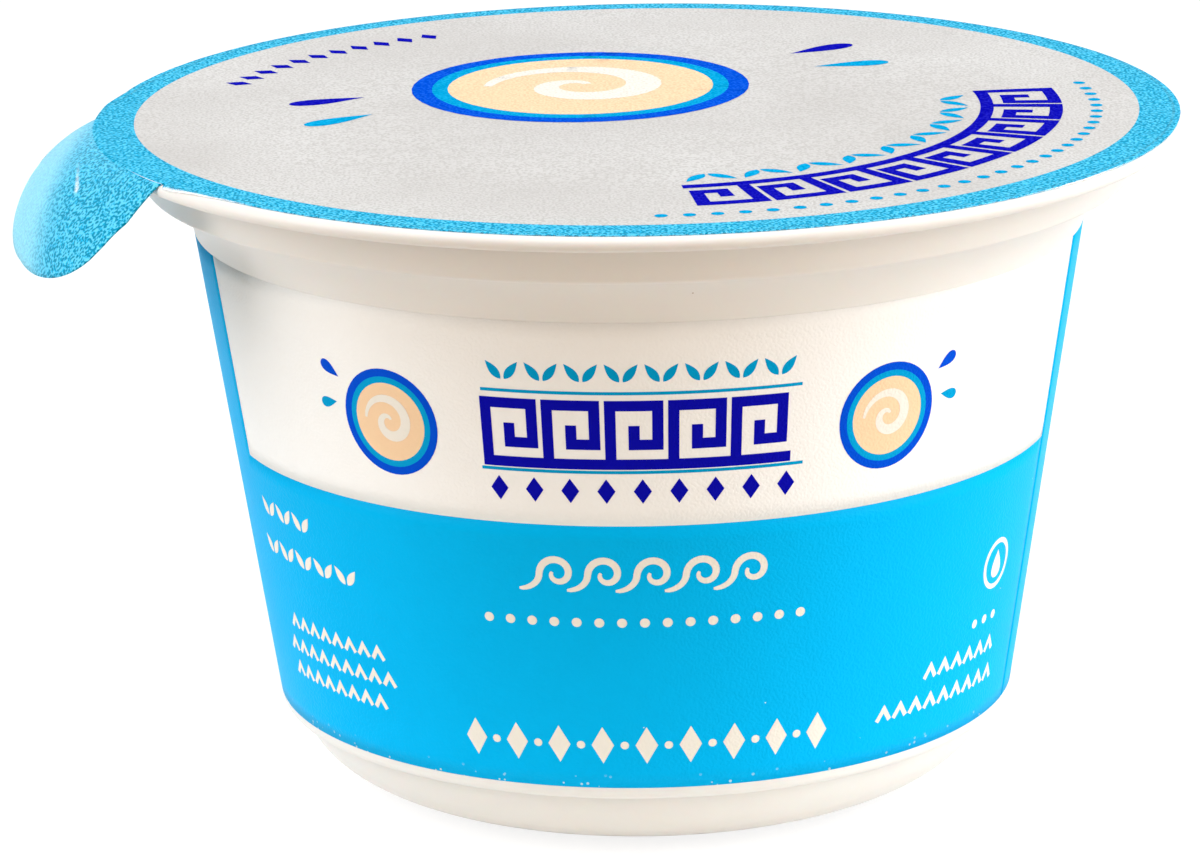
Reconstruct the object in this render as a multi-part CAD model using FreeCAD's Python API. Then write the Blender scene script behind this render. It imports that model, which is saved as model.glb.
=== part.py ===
import FreeCAD, Part
import math
import os

# A shut single-serve yogurt pot: a full moulded pot, the label moulded into its wall, and a sealed
# flat foil lid whose pull tab is folded down at the left. Millimetres, +Z up, -Y is the front.
# The origin is on the pot's axis, in the plane of the foot ring that it stands on.

# Pot, heights from the foot up
foot_height = 6.5              # rounded foot, up to the overhang of the wall
wall_height = 43.4             # tapered wall, from the overhang to the cove
cove_height = 3.9              # the lower neck band, a hollow cove
step_drop = 0.25               # slope of the underside of the upper neck band
neck_height = 3.6              # the upper neck band
flange_thickness = 1.15
crown_rise = 0.35              # inside the seal land the foil bows up a little
base_recess_depth = 1.0        # hollow under the base, inside the foot ring

# Pot, from the rim inwards
flange_radius = 47.5
seal_width = 5.5               # level land, from the crown to the flange's edge
flange_width = 3.8             # from the top of the neck to the flange's edge
neck_draft = 0.5               # how much wider the neck is at its top
step_width = 1.8               # from the top of the cove to the neck
cove_width = 2.433             # from the top of the wall to the top of the cove
wall_draft_deg = 8.5           # taper of the wall from the vertical
overhang_width = 1.681         # from the foot to the wall's lower corner
foot_curve_width = 10.3        # from the flat foot ring to the foot's widest place
foot_ring_width = 3.0

# Pot, corners
wall_corner_round = 0.9
cove_bulge = 0.35              # how far the cove's arc bows inwards from its chord
neck_edge_round = 0.45
neck_fillet = 0.6              # hollow corner under the flange

# Label moulded into the wall, flush with it
label_thickness = 0.12
label_top_gap = 0.15           # bare wall left above the label
label_bottom_gap = 0.45        # bare corner left under the label
label_seam_gap = 0.25          # butt seam between the label's two ends
label_seam_deg = -17.0         # direction of the seam, from +X towards +Y

# Foil lid
foil_thickness = 0.12
foil_edge_gap = 0.8            # flange left bare outside the foil
tab_direction_deg = 196.4      # direction of the pull tab, from +X towards +Y
tab_width = 26.8
tab_length = 12.15             # along the foil, past the fold
tab_end_depth = 4.7            # the tab ends in half an ellipse, this deep
tab_fold_radius = 0.9
tab_start_slope_deg = 21.5     # below level at the fold
tab_end_slope_deg = 76.0       # below level at the tip
cutting_margin = 1.0           # how far a cutting shape runs past what it cuts

# Worked out from these
wall_top_height = foot_height + wall_height
cove_top_height = wall_top_height + cove_height
neck_low_height = cove_top_height + step_drop
neck_top_height = neck_low_height + neck_height
flange_top_height = neck_top_height + flange_thickness
lid_top_height = flange_top_height + foil_thickness
crown_radius = flange_radius - seal_width
neck_top_radius = flange_radius - flange_width
neck_low_radius = neck_top_radius - neck_draft
cove_radius = neck_low_radius - step_width
wall_top_radius = cove_radius - cove_width
wall_low_radius = wall_top_radius - wall_height * math.tan(math.radians(wall_draft_deg))
foot_radius = wall_low_radius - overhang_width
foot_ring_radius = foot_radius - foot_curve_width
recess_edge_radius = foot_ring_radius - foot_ring_width
base_recess_radius = recess_edge_radius - base_recess_depth
flange_edge_round = flange_thickness / 2
foil_radius = flange_radius - foil_edge_gap
fold_start_radius = flange_radius - flange_edge_round     # the tab runs level to here, then folds

axis_start = FreeCAD.Vector(0, 0, 0)
axis_up = FreeCAD.Vector(0, 0, 1)


def at(radius, height):
    return FreeCAD.Vector(radius, 0, height)


def line(start, end):
    return Part.LineSegment(start, end).toShape()


def arc(start, middle, end):
    return Part.Arc(start, middle, end).toShape()


def round_corner(before, corner, after, radius):
    """The two tangent points and the middle of the arc that rounds a corner."""
    to_before = (before - corner).normalize()
    to_after = (after - corner).normalize()
    half_angle = to_before.getAngle(to_after) / 2
    reach = radius / math.tan(half_angle)
    to_centre = (to_before + to_after).normalize()
    middle = corner + to_centre * (radius / math.sin(half_angle) - radius)
    return corner + to_before * reach, middle, corner + to_after * reach


def revolve(edges, degrees=360.0):
    return Part.Face(Part.Wire(edges)).revolve(axis_start, axis_up, degrees)


def wall_radius_at(height):
    return wall_low_radius + (height - foot_height) * math.tan(math.radians(wall_draft_deg))


def crown_edge(height):
    """The crown's arc, from the inside of the seal land to the axis."""
    arc_radius = (crown_radius ** 2 + crown_rise ** 2) / (2 * crown_rise)
    half = crown_radius / 2
    half_rise = crown_rise - (arc_radius - math.sqrt(arc_radius ** 2 - half ** 2))
    return arc(at(crown_radius, height), at(half, height + half_rise), at(0, height + crown_rise))


def wall_corner_points():
    """The rounded bottom corner of the wall, from the taper to the underside of the overhang."""
    taper_top = at(wall_top_radius, wall_top_height)
    taper_low = at(wall_low_radius, foot_height)
    under = at(foot_radius, foot_height)
    return round_corner(taper_top, taper_low, under, wall_corner_round)


def label_bottom_height():
    start, _, _ = wall_corner_points()
    return start.z + label_bottom_gap


def make_body():
    """The full moulded pot as one closed solid, label and all."""
    wall_top = at(wall_top_radius, wall_top_height)
    cove_top = at(cove_radius, cove_top_height)
    chord = cove_top - wall_top
    inwards = FreeCAD.Vector(-chord.z, 0, chord.x).normalize()
    cove_middle = wall_top + chord * 0.5 + inwards * cove_bulge

    neck_low = at(neck_low_radius, neck_low_height)
    neck_top = at(neck_top_radius, neck_top_height)
    under_flange = at(flange_radius, neck_top_height)
    step_in, step_mid, step_out = round_corner(cove_top, neck_low, neck_top, neck_edge_round)
    fillet_in, fillet_mid, fillet_out = round_corner(neck_low, neck_top, under_flange, neck_fillet)

    edge_low = at(flange_radius - flange_edge_round, neck_top_height)
    edge_middle = at(flange_radius, flange_top_height - flange_edge_round)
    edge_high = at(flange_radius - flange_edge_round, flange_top_height)
    crown_start = at(crown_radius, flange_top_height)

    taper_end, corner_mid, under_start = wall_corner_points()
    foot_top = at(foot_radius, foot_height)
    foot_middle = at(
        foot_ring_radius + foot_curve_width * math.sqrt(0.5),
        foot_height - foot_height * math.sqrt(0.5),
    )
    ring_outer = at(foot_ring_radius, 0)
    ring_inner = at(recess_edge_radius, 0)
    recess_edge = at(base_recess_radius, base_recess_depth)
    foot_curve = Part.BSplineCurve()
    foot_curve.interpolate(
        Points=[foot_top, foot_middle, ring_outer],
        InitialTangent=FreeCAD.Vector(0, 0, -foot_height),
        FinalTangent=FreeCAD.Vector(-foot_curve_width, 0, 0),
    )
    return revolve([
        line(at(0, base_recess_depth), recess_edge),
        line(recess_edge, ring_inner),
        line(ring_inner, ring_outer),
        foot_curve.toShape(),
        line(foot_top, under_start),
        arc(under_start, corner_mid, taper_end),
        line(taper_end, wall_top),
        arc(wall_top, cove_middle, cove_top),
        line(cove_top, step_in),
        arc(step_in, step_mid, step_out),
        line(step_out, fillet_in),
        arc(fillet_in, fillet_mid, fillet_out),
        line(fillet_out, edge_low),
        arc(edge_low, edge_middle, edge_high),
        line(edge_high, crown_start),
        crown_edge(flange_top_height),
        line(at(0, flange_top_height + crown_rise), at(0, base_recess_depth)),
    ])


def make_label():
    """A thin wrap in the tapered wall, open only at its butt seam."""
    low = label_bottom_height()
    high = wall_top_height - label_top_gap
    outer_low = at(wall_radius_at(low), low)
    outer_high = at(wall_radius_at(high), high)
    inner_low = at(wall_radius_at(low) - label_thickness, low)
    inner_high = at(wall_radius_at(high) - label_thickness, high)
    seam_deg = math.degrees(label_seam_gap / wall_radius_at(high))
    wrap = revolve([
        line(outer_low, outer_high),
        line(outer_high, inner_high),
        line(inner_high, inner_low),
        line(inner_low, outer_low),
    ], 360.0 - seam_deg)
    wrap.rotate(axis_start, axis_up, label_seam_deg + seam_deg / 2)
    return wrap


def make_foil_disc():
    """The foil over the crown and the seal land, cut short of the flange's edge."""
    return revolve([
        crown_edge(lid_top_height),
        line(at(crown_radius, lid_top_height), at(foil_radius, lid_top_height)),
        line(at(foil_radius, lid_top_height), at(foil_radius, flange_top_height)),
        line(at(foil_radius, flange_top_height), at(crown_radius, flange_top_height)),
        crown_edge(flange_top_height),
        line(at(0, flange_top_height + crown_rise), at(0, lid_top_height + crown_rise)),
    ])


def bend_point(centre, radius, slope_deg):
    slope = math.radians(slope_deg)
    return centre + at(radius * math.sin(slope), radius * math.cos(slope))


def tab_centres():
    """Centres of the tight fold and of the tab's long bend, and the long bend's radius."""
    fold_centre = at(fold_start_radius, lid_top_height - tab_fold_radius)
    sweep = math.radians(tab_end_slope_deg - tab_start_slope_deg)
    long_radius = tab_length / sweep
    fold_end = bend_point(fold_centre, tab_fold_radius, tab_start_slope_deg)
    long_centre = fold_end - bend_point(at(0, 0), long_radius, tab_start_slope_deg)
    return fold_centre, long_centre, long_radius


def make_tab_sheet():
    """The foil running out over the rim, folded there and curving down; wider than the tab."""
    fold_centre, long_centre, long_radius = tab_centres()
    fold_middle_deg = tab_start_slope_deg / 2
    long_middle_deg = (tab_start_slope_deg + tab_end_slope_deg) / 2

    def sheet_side(inset):
        fold = tab_fold_radius - inset
        long = long_radius - inset
        fold_start = bend_point(fold_centre, fold, 0)
        level_start = at(foil_radius - cutting_margin, fold_start.z)
        joint = bend_point(fold_centre, fold, tab_start_slope_deg)
        tip = bend_point(long_centre, long, tab_end_slope_deg)
        level = line(level_start, fold_start)
        fold_arc = arc(fold_start, bend_point(fold_centre, fold, fold_middle_deg), joint)
        long_arc = arc(joint, bend_point(long_centre, long, long_middle_deg), tip)
        return level_start, tip, [level, fold_arc, long_arc]

    outer_start, outer_tip, outer_edges = sheet_side(0)
    inner_start, inner_tip, inner_edges = sheet_side(foil_thickness)
    half_turn = math.asin((tab_width / 2 + cutting_margin) / fold_start_radius)
    turn_deg = 2 * math.degrees(half_turn)
    back_to_start = inner_edges[::-1] + [line(inner_start, outer_start)]
    sheet = revolve(outer_edges + [line(outer_tip, inner_tip)] + back_to_start, turn_deg)
    sheet.rotate(axis_start, axis_up, -turn_deg / 2)
    return sheet, outer_tip


def make_tab():
    """The pull tab: the folded sheet, trimmed to the tab's width and rounded end."""
    sheet, sheet_tip = make_tab_sheet()
    half = tab_width / 2
    side_end = sheet_tip.x - tab_end_depth
    low = sheet_tip.z - cutting_margin

    def plan(x, y):
        return FreeCAD.Vector(x, y, low)

    end = Part.Ellipse(plan(side_end, half), plan(sheet_tip.x, 0), plan(side_end, 0))
    outline = Part.Wire([
        line(plan(0, half), plan(side_end, half)),
        Part.ArcOfEllipse(end, 0, math.pi).toShape(),
        line(plan(side_end, -half), plan(0, -half)),
        line(plan(0, -half), plan(0, half)),
    ])
    prism = Part.Face(outline).extrude(axis_up * (lid_top_height + cutting_margin - low))
    return sheet.common(prism)


def make_lid():
    """One piece of foil: the disc and its pull tab."""
    lid = make_foil_disc().fuse(make_tab()).removeSplitter()
    lid.rotate(axis_start, axis_up, tab_direction_deg)
    return lid


def save(name, shape):
    solids = shape.Solids
    assert len(solids) == 1 and solids[0].isValid(), name
    solids[0].exportStep("parts/" + name + ".step")
    print(name, "volume", round(solids[0].Volume, 1), "box", solids[0].BoundBox)


os.makedirs("parts", exist_ok=True)
label = make_label()
save("pot", make_body().cut(label))
save("label", label)
save("lid", make_lid())
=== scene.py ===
import bpy, bmesh
import math
from mathutils import Matrix, Vector, noise
from mathutils.geometry import delaunay_2d_cdt


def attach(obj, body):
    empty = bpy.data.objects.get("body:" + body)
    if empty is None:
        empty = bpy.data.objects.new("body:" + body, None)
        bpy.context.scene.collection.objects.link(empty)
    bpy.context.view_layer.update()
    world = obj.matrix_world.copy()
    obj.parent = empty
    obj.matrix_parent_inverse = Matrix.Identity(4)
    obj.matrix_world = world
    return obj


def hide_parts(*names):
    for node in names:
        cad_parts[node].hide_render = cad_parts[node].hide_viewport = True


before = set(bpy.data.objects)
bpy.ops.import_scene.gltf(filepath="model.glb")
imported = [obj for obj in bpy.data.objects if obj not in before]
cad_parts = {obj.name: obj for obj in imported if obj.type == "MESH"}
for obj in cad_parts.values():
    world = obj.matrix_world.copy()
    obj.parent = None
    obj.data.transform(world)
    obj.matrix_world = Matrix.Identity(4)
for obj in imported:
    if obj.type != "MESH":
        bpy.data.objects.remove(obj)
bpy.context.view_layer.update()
mm = 0.001               # the sizes below are in millimetres, Blender's are in metres
scene = bpy.context.scene


# pieces and meshes

def addPiece(name, mesh, *materials):
    piece = bpy.data.objects.new(name, mesh)
    scene.collection.objects.link(piece)
    for material in materials:
        mesh.materials.append(material)
    return piece


def ridePiece(piece, slot, *nodes):
    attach(piece, "root")
    if nodes:
        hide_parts(*nodes)


def meshFrom(name, verts, faces):
    mesh = bpy.data.meshes.new(name)
    mesh.from_pydata([tuple(c * mm for c in v) for v in verts], [], faces)
    mesh.polygons.foreach_set("use_smooth", [True] * len(mesh.polygons))
    mesh.update()
    return mesh


def faceOutwards(mesh):
    work = bmesh.new()
    work.from_mesh(mesh)
    bmesh.ops.remove_doubles(work, verts=work.verts, dist=0.0005 * mm)
    bmesh.ops.recalc_face_normals(work, faces=work.faces)
    work.to_mesh(mesh)
    work.free()


def applyModifiers(piece):
    graph = bpy.context.evaluated_depsgraph_get()
    done = bpy.data.meshes.new_from_object(piece.evaluated_get(graph))
    piece.modifiers.clear()
    piece.data = done


def smoothStep(low, high, value):
    t = min(1.0, max(0.0, (value - low) / (high - low)))
    return t * t * (3 - 2 * t)


def bell(value, middle, spread):
    return math.exp(-((value - middle) / spread) ** 2)


# outlines, as lists of (across, up)

def arcPoints(start, middle, end, steps):
    # the arc through three points, without its start
    (ax, ay), (bx, by), (cx, cy) = start, middle, end
    d = 2 * (ax * (by - cy) + bx * (cy - ay) + cx * (ay - by))
    a2, b2, c2 = ax * ax + ay * ay, bx * bx + by * by, cx * cx + cy * cy
    ox = (a2 * (by - cy) + b2 * (cy - ay) + c2 * (ay - by)) / d
    oy = (a2 * (cx - bx) + b2 * (ax - cx) + c2 * (bx - ax)) / d
    radius = math.hypot(ax - ox, ay - oy)
    first = math.atan2(ay - oy, ax - ox)
    turn = (math.atan2(cy - oy, cx - ox) - first + math.pi) % (2 * math.pi) - math.pi
    angles = [first + turn * k / steps for k in range(1, steps + 1)]
    return [(ox + radius * math.cos(a), oy + radius * math.sin(a)) for a in angles]


def linePoints(start, end, steps):
    return [tuple(a + (b - a) * k / steps for a, b in zip(start, end)) for k in range(1, steps + 1)]


def roundedCorner(before, corner, after, radius, steps):
    toBefore = (Vector(before) - Vector(corner)).normalized()
    toAfter = (Vector(after) - Vector(corner)).normalized()
    half = toBefore.angle(toAfter) / 2
    reach = radius / math.tan(half)
    middle = Vector(corner) + (toBefore + toAfter).normalized() * (radius / math.sin(half) - radius)
    start = tuple(Vector(corner) + toBefore * reach)
    end = tuple(Vector(corner) + toAfter * reach)
    return [start] + arcPoints(start, tuple(middle), end, steps)


def strokeLoop(path, width):
    # the outline of a pen stroke along a path; width is a number or a function of 0..1
    sides = [[], []]
    for k, point in enumerate(path):
        point = Vector(point)
        legs = [Vector(path[k]) - Vector(path[k - 1])] if k else []
        legs += [Vector(path[k + 1]) - point] if k + 1 < len(path) else []
        legs = [leg.normalized() for leg in legs]
        along = sum(legs, Vector((0, 0))).normalized()
        across = Vector((-along.y, along.x))
        wide = width(k / (len(path) - 1)) if callable(width) else width
        reach = wide / 2 / max(0.3, along.dot(legs[0]))
        sides[0].append(tuple(point + across * reach))
        sides[1].append(tuple(point - across * reach))
    return sides[1] + sides[0][::-1]


def circleLoop(radius, steps=48):
    angles = [2 * math.pi * k / steps for k in range(steps)]
    return [(radius * math.cos(a), radius * math.sin(a)) for a in angles]


def leafLoop(length, width, turnDeg, root=(0, 0), steps=12):
    shares = [k / steps for k in range(steps + 1)]
    side = [(length * t, width / 2 * math.sin(math.pi * t ** 0.8)) for t in shares]
    outline = side + [(x, -y) for x, y in side[-2:0:-1]]
    c, s = math.cos(math.radians(turnDeg)), math.sin(math.radians(turnDeg))
    return [(root[0] + x * c - y * s, root[1] + x * s + y * c) for x, y in outline]


def dropLoop(length, width, turnDeg, root=(0, 0), steps=28):
    c, s = math.cos(math.radians(turnDeg)), math.sin(math.radians(turnDeg))
    outline = []
    for k in range(steps):
        a = 2 * math.pi * k / steps
        x = length * (1 - math.cos(a)) / 2
        y = width * 0.77 * math.sin(a) * math.sin(a / 2) ** 1.4
        outline.append((root[0] + x * c - y * s, root[1] + x * s + y * c))
    return outline


def insideLoops(loops, x, y):
    inside = False
    for loop in loops:
        for (x0, y0), (x1, y1) in zip(loop, loop[1:] + loop[:1]):
            if (y0 > y) != (y1 > y) and x < x0 + (y - y0) * (x1 - x0) / (y1 - y0):
                inside = not inside
    return inside


def fillLoops(loops, grain=1.2):
    # triangles that fill the loops by the even-odd rule, none much larger than the grain
    points, edges = [], []
    for loop in loops:
        first = len(points)
        for start, end in zip(loop, loop[1:] + loop[:1]):
            steps = max(1, math.ceil(math.dist(start, end) / grain))
            points += [start] + linePoints(start, end, steps)[:-1]
        count = len(points) - first
        edges += [(first + k, first + (k + 1) % count) for k in range(count)]
    left, right = min(p[0] for p in points), max(p[0] for p in points)
    low, high = min(p[1] for p in points), max(p[1] for p in points)
    border = list(points)
    for i in range(1, int((right - left) / grain) + 1):
        for j in range(1, int((high - low) / grain) + 1):
            x, y = left + grain * (i + (j % 2) / 2), low + grain * j
            near = any(abs(p[0] - x) < grain / 2 and abs(p[1] - y) < grain / 2 for p in border)
            if not near and insideLoops(loops, x, y):
                points.append((x, y))
    verts, _, faces, *_ = delaunay_2d_cdt([Vector(p) for p in points], edges, [], 0, 1e-5)
    kept = []
    for face in faces:
        x, y = (sum(verts[k][axis] for k in face) / 3 for axis in (0, 1))
        if insideLoops(loops, x, y):
            kept.append(tuple(face))
    return [tuple(v) for v in verts], kept


# Geometry Nodes

def newTree(name, inputs):
    tree = bpy.data.node_groups.new(name, "GeometryNodeTree")
    tree.interface.new_socket("Geometry", in_out="INPUT", socket_type="NodeSocketGeometry")
    for label, kind in inputs.items():
        tree.interface.new_socket(label, in_out="INPUT", socket_type="NodeSocket" + kind)
    tree.interface.new_socket("Geometry", in_out="OUTPUT", socket_type="NodeSocketGeometry")
    return tree


def addNode(tree, kind, links, **settings):
    node = tree.nodes.new(kind)
    for key, value in settings.items():
        setattr(node, key, value)
    for socket, source in links.items():
        if isinstance(source, bpy.types.NodeSocket):
            tree.links.new(source, node.inputs[socket])
        else:
            node.inputs[socket].default_value = source
    return node


def mathNode(tree, operation, *values):
    return addNode(tree, "ShaderNodeMath", dict(enumerate(values)), operation=operation).outputs[0]


def mixColor(tree, share, first, second):
    return addNode(tree, "ShaderNodeMix", {0: share, 6: first, 7: second}, data_type="RGBA").outputs[2]


def mapRange(tree, value, low, high, toLow=0.0, toHigh=1.0, **settings):
    links = {0: value, 1: low, 2: high, 3: toLow, 4: toHigh}
    return addNode(tree, "ShaderNodeMapRange", links, **settings).outputs[0]


def splitVector(tree, source):
    return addNode(tree, "ShaderNodeSeparateXYZ", {0: source}).outputs


def joinVector(tree, *parts):
    return addNode(tree, "ShaderNodeCombineXYZ", dict(enumerate(parts))).outputs[0]


def endTree(tree, geometry, material):
    smooth = addNode(tree, "GeometryNodeSetShadeSmooth", {"Geometry": geometry})
    real = addNode(tree, "GeometryNodeRealizeInstances", {"Geometry": smooth.outputs[0]})
    made = addNode(tree, "GeometryNodeSetMaterial", {"Geometry": real.outputs[0], "Material": material})
    addNode(tree, "NodeGroupOutput", {"Geometry": made.outputs[0]})


def runTree(piece, tree, values):
    # the tree's result becomes the piece's own plain mesh
    modifier = piece.modifiers.new("build", "NODES")
    modifier.node_group = tree
    for item in tree.interface.items_tree:
        if item.in_out == "INPUT" and item.name in values:
            modifier[item.identifier] = values[item.name]
    bpy.context.view_layer.update()
    applyModifiers(piece)
    return piece


def latheTree():
    # turns an outline of edges in the XZ plane about the Z axis
    tree = newTree("latheOutline", {"Around": "Int", "Material": "Material"})
    given = addNode(tree, "NodeGroupInput", {}).outputs
    size = addNode(tree, "GeometryNodeAttributeDomainSize", {"Geometry": given["Geometry"]})
    count = size.outputs["Point Count"]
    steps = mathNode(tree, "SUBTRACT", count, 1.0)
    grid = addNode(tree, "GeometryNodeMeshGrid", {
        "Size X": steps, "Size Y": given["Around"],
        "Vertices X": count, "Vertices Y": mathNode(tree, "ADD", given["Around"], 1.0)})
    place = splitVector(tree, addNode(tree, "GeometryNodeInputPosition", {}).outputs[0])
    column = mathNode(tree, "ROUND", mathNode(tree, "ADD", place[0], mathNode(tree, "DIVIDE", steps, 2.0)))
    row = mathNode(tree, "ADD", place[1], mathNode(tree, "DIVIDE", given["Around"], 2.0))
    angle = mathNode(tree, "MULTIPLY", mathNode(tree, "DIVIDE", row, given["Around"]), 2 * math.pi)
    outline = addNode(tree, "GeometryNodeSampleIndex", {
        "Geometry": given["Geometry"], "Index": column}, data_type="FLOAT_VECTOR")
    tree.links.new(addNode(tree, "GeometryNodeInputPosition", {}).outputs[0], outline.inputs["Value"])
    point = splitVector(tree, outline.outputs["Value"])
    turned = joinVector(tree, mathNode(tree, "MULTIPLY", point[0], mathNode(tree, "COSINE", angle)),
                        mathNode(tree, "MULTIPLY", point[0], mathNode(tree, "SINE", angle)), point[2])
    moved = addNode(tree, "GeometryNodeSetPosition", {
        "Geometry": grid.outputs["Mesh"], "Position": turned})
    closed = addNode(tree, "GeometryNodeMergeByDistance", {
        "Geometry": moved.outputs[0], "Distance": 0.001 * mm})
    endTree(tree, closed.outputs[0], given["Material"])
    return tree


def rowNodes(tree, given):
    # copies of the flat motif in a straight row about the origin, as one mesh
    spread = mathNode(tree, "MULTIPLY", mathNode(tree, "SUBTRACT", given["Count"], 1.0), given["Pitch"])
    start = joinVector(tree, mathNode(tree, "MULTIPLY", spread, -0.5), 0.0, 0.0)
    row = addNode(tree, "GeometryNodeMeshLine", {
        "Count": given["Count"], "Start Location": start,
        "Offset": joinVector(tree, given["Pitch"], 0.0, 0.0)})
    copies = addNode(tree, "GeometryNodeInstanceOnPoints", {
        "Points": row.outputs[0], "Instance": given["Geometry"]})
    real = addNode(tree, "GeometryNodeRealizeInstances", {"Geometry": copies.outputs[0]})
    joined = addNode(tree, "GeometryNodeMergeByDistance", {
        "Geometry": real.outputs[0], "Distance": 0.002 * mm})
    place = addNode(tree, "GeometryNodeInputPosition", {}).outputs[0]
    return joined.outputs[0], splitVector(tree, place)


def wallRowTree():
    # bends a row of motifs round the tapered wall
    tree = newTree("rowOnWall", {
        "Count": "Int", "Pitch": "Float", "Direction": "Float", "Height": "Float",
        "Base Radius": "Float", "Slope": "Float", "Lift": "Float", "Material": "Material"})
    given = addNode(tree, "NodeGroupInput", {}).outputs
    row, place = rowNodes(tree, given)
    middle = mathNode(tree, "MULTIPLY_ADD", given["Height"], given["Slope"], given["Base Radius"])
    angle = mathNode(tree, "ADD", given["Direction"], mathNode(tree, "DIVIDE", place[0], middle))
    level = mathNode(tree, "ADD", given["Height"], place[1])
    radius = mathNode(tree, "MULTIPLY_ADD", level, given["Slope"], given["Base Radius"])
    radius = mathNode(tree, "ADD", radius, given["Lift"])
    inwards = mathNode(tree, "MULTIPLY", radius, mathNode(tree, "COSINE", angle))
    bent = joinVector(tree, mathNode(tree, "MULTIPLY", radius, mathNode(tree, "SINE", angle)),
                      mathNode(tree, "MULTIPLY", inwards, -1.0), level)
    moved = addNode(tree, "GeometryNodeSetPosition", {"Geometry": row, "Position": bent})
    endTree(tree, moved.outputs[0], given["Material"])
    return tree


def lidRowTree():
    # bends a row of motifs into an arc about the lid's middle
    tree = newTree("rowOnLid", {
        "Count": "Int", "Pitch": "Float", "Direction": "Float", "Radius": "Float", "Material": "Material"})
    given = addNode(tree, "NodeGroupInput", {}).outputs
    row, place = rowNodes(tree, given)
    along = mathNode(tree, "DIVIDE", place[0], given["Radius"])
    angle = mathNode(tree, "SUBTRACT", given["Direction"], along)
    radius = mathNode(tree, "ADD", given["Radius"], place[1])
    bent = joinVector(tree, mathNode(tree, "MULTIPLY", radius, mathNode(tree, "COSINE", angle)),
                      mathNode(tree, "MULTIPLY", radius, mathNode(tree, "SINE", angle)), 0.0)
    moved = addNode(tree, "GeometryNodeSetPosition", {"Geometry": row, "Position": bent})
    endTree(tree, moved.outputs[0], given["Material"])
    return tree


# shader groups that the finishes share

def newShaderGroup(name, inputs, outputs):
    group = bpy.data.node_groups.new(name, "ShaderNodeTree")
    for label, (kind, value) in inputs.items():
        socket = group.interface.new_socket(label, in_out="INPUT", socket_type="NodeSocket" + kind)
        socket.default_value = value
    for label, kind in outputs.items():
        group.interface.new_socket(label, in_out="OUTPUT", socket_type="NodeSocket" + kind)
    place = addNode(group, "ShaderNodeTexCoord", {}).outputs["Object"]
    return group, addNode(group, "NodeGroupInput", {}).outputs, place


def embossGroup():
    # labyrinth of short pressed ridges; Height runs from the hollows at 0 to the crests at 1
    group, given, place = newShaderGroup(
        "embossGrain", {"Pitch": ("Float", 0.36)}, {"Height": "Float", "Hollow": "Float"})
    cell = mathNode(group, "MULTIPLY", given["Pitch"], 0.6)
    swell = addNode(group, "ShaderNodeTexNoise", {
        "Vector": place, "Scale": mathNode(group, "DIVIDE", 1000.0, cell), "Detail": 0.0}).outputs["Fac"]
    height = mapRange(group, swell, 0.38, 0.62, interpolation_type="SMOOTHSTEP")
    hollow = mapRange(group, height, 0.4, 0.0)
    addNode(group, "NodeGroupOutput", {"Height": height, "Hollow": hollow})
    return group


def tintGroup():
    # slow drift of a colour over the surface
    group, given, place = newShaderGroup(
        "tintDrift", {"Color": ("Color", (1, 1, 1, 1)), "Other": ("Color", (1, 1, 1, 1)),
                      "Scale": ("Float", 60.0), "Amount": ("Float", 0.5)},
        {"Color": "Color", "Mask": "Float"})
    drift = addNode(group, "ShaderNodeTexNoise", {
        "Vector": place, "Scale": given["Scale"], "Detail": 4.0}).outputs["Fac"]
    mask = mapRange(group, drift, 0.35, 0.7)
    share = mathNode(group, "MULTIPLY", mask, given["Amount"])
    color = mixColor(group, share, given["Color"], given["Other"])
    addNode(group, "NodeGroupOutput", {"Color": color, "Mask": mask})
    return group


def speckGroup():
    # a few tiny specks of dust or missed ink
    group, given, place = newShaderGroup(
        "specks", {"Color": ("Color", (1, 1, 1, 1)), "Speck": ("Color", (1, 1, 1, 1)),
                   "Spacing": ("Float", 2.0), "Size": ("Float", 0.08)}, {"Color": "Color"})
    cells = addNode(group, "ShaderNodeTexVoronoi", {
        "Vector": place, "Scale": mathNode(group, "DIVIDE", 1000.0, given["Spacing"])})
    rare = mathNode(group, "GREATER_THAN", splitVector(group, cells.outputs["Color"])[0], 0.8)
    size = mathNode(group, "DIVIDE", given["Size"], given["Spacing"])
    near = mathNode(group, "LESS_THAN", cells.outputs["Distance"], size)
    color = mixColor(group, mathNode(group, "MULTIPLY", rare, near), given["Color"], given["Speck"])
    addNode(group, "NodeGroupOutput", {"Color": color})
    return group


groups = {"emboss": embossGroup(), "tint": tintGroup(), "specks": speckGroup()}


def srgb(r, g, b):
    values = [c / 255 for c in (r, g, b)]
    return tuple(c / 12.92 if c <= 10 / 255 else ((c + 0.055) / 1.055) ** 2.4 for c in values) + (1,)


def newMaterial(name, **sockets):
    material = bpy.data.materials.new(name)
    material.use_nodes = True
    shader = material.node_tree.nodes["Principled BSDF"]
    for label, value in sockets.items():
        shader.inputs[label.replace("_", " ")].default_value = value
    return material, material.node_tree, shader


def groupNode(tree, name, **links):
    node = tree.nodes.new("ShaderNodeGroup")
    node.node_tree = groups[name]
    for socket, source in links.items():
        if isinstance(source, bpy.types.NodeSocket):
            tree.links.new(source, node.inputs[socket])
        else:
            node.inputs[socket].default_value = source
    return node.outputs


def bumpFrom(tree, shader, height, distance, strength=1.0):
    bump = addNode(tree, "ShaderNodeBump", {
        "Height": height, "Distance": distance * mm, "Strength": strength})
    tree.links.new(bump.outputs[0], shader.inputs["Normal"])


# finishes

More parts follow.
